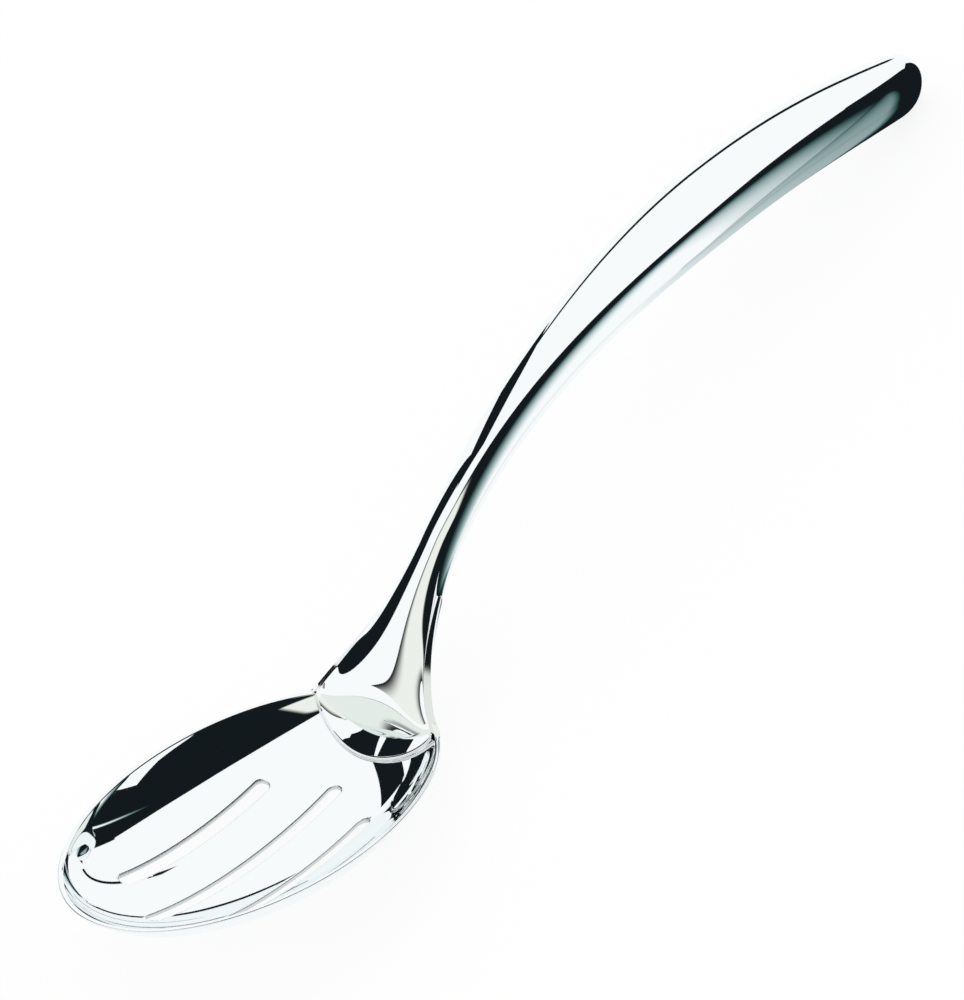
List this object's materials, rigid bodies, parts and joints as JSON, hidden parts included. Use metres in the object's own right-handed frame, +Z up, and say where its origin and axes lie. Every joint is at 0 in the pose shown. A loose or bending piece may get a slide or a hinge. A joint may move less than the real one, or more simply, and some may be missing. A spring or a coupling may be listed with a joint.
{
  "type": "slotted serving spoon",
  "caption": "Slotted serving spoon: pressed oval bowl with lengthwise drain slots, and an arched hollow handle whose flared tongue is welded over the bowl's heel.",
  "frame": {"origin": "the point under the bowl where it touches the table, with the spoon lying on its bowl and on the handle's end", "axes": "+X along the spoon from the bowl towards the handle's end, +Z up from the table, Y across the spoon, with the mirror plane at Y = 0"},
  "size_m": [0.278, 0.06, 0.0388],
  "materials": {
    "polished_steel": "mirror-polished stainless steel sheet",
    "weld_steel": "weld filler, ground flush and polished"
  },
  "bodies": {
    "root": {"bowl": "polished_steel", "handle_upper_shell": "polished_steel", "handle_lower_shell": "polished_steel", "handle_seam_weld": "weld_steel", "tongue_weld": "weld_steel", "heel_weld": "weld_steel"}
  },
  "joints": []
}
